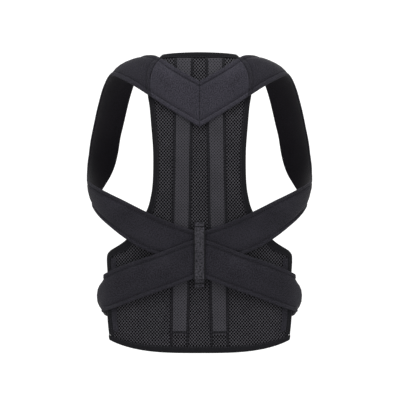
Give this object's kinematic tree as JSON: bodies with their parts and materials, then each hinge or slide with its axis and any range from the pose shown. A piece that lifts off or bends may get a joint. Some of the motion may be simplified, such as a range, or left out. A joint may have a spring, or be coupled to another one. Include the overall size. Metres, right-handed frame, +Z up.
{
  "type": "posture corrector",
  "caption": "Upper-back posture brace with a mesh back panel, a V yoke, shoulder straps that pass under the arms and waist straps that close at the front.",
  "frame": {"origin": "on the shoulder line, midway between the shoulders, where the straps' crests rest", "axes": "+Z up, the wearer's back faces -Y, the wearer's left is -X, as worn"},
  "size_m": [0.3318, 0.1994, 0.4384],
  "materials": {
    "panel_mesh": "black spacer mesh with a diamond lattice of small holes",
    "pocket_mesh": "charcoal fine mesh, padded over a flat stay",
    "strap_cloth": "charcoal brushed knit bonded to thin foam, with sewn hems",
    "binding_tape": "black folded knit binding tape, stitched along its inner edge",
    "webbing": "black ribbed narrow webbing",
    "hook_tape": "black hook tape, dull"
  },
  "bodies": {
    "root": {"back_panel": "panel_mesh", "top_binding": "binding_tape", "bottom_binding": "binding_tape", "left_side_binding": "binding_tape", "right_side_binding": "binding_tape", "left_side_tab": "strap_cloth", "right_side_tab": "strap_cloth", "left_stay_pocket": "pocket_mesh", "right_stay_pocket": "pocket_mesh", "left_yoke": "strap_cloth", "right_yoke": "strap_cloth", "left_shoulder_strap": "strap_cloth", "right_shoulder_strap": "strap_cloth", "left_waist_strap": "strap_cloth", "right_waist_strap": "strap_cloth", "front_hook_patch": "hook_tape", "centre_loop": "webbing"}
  },
  "joints": []
}
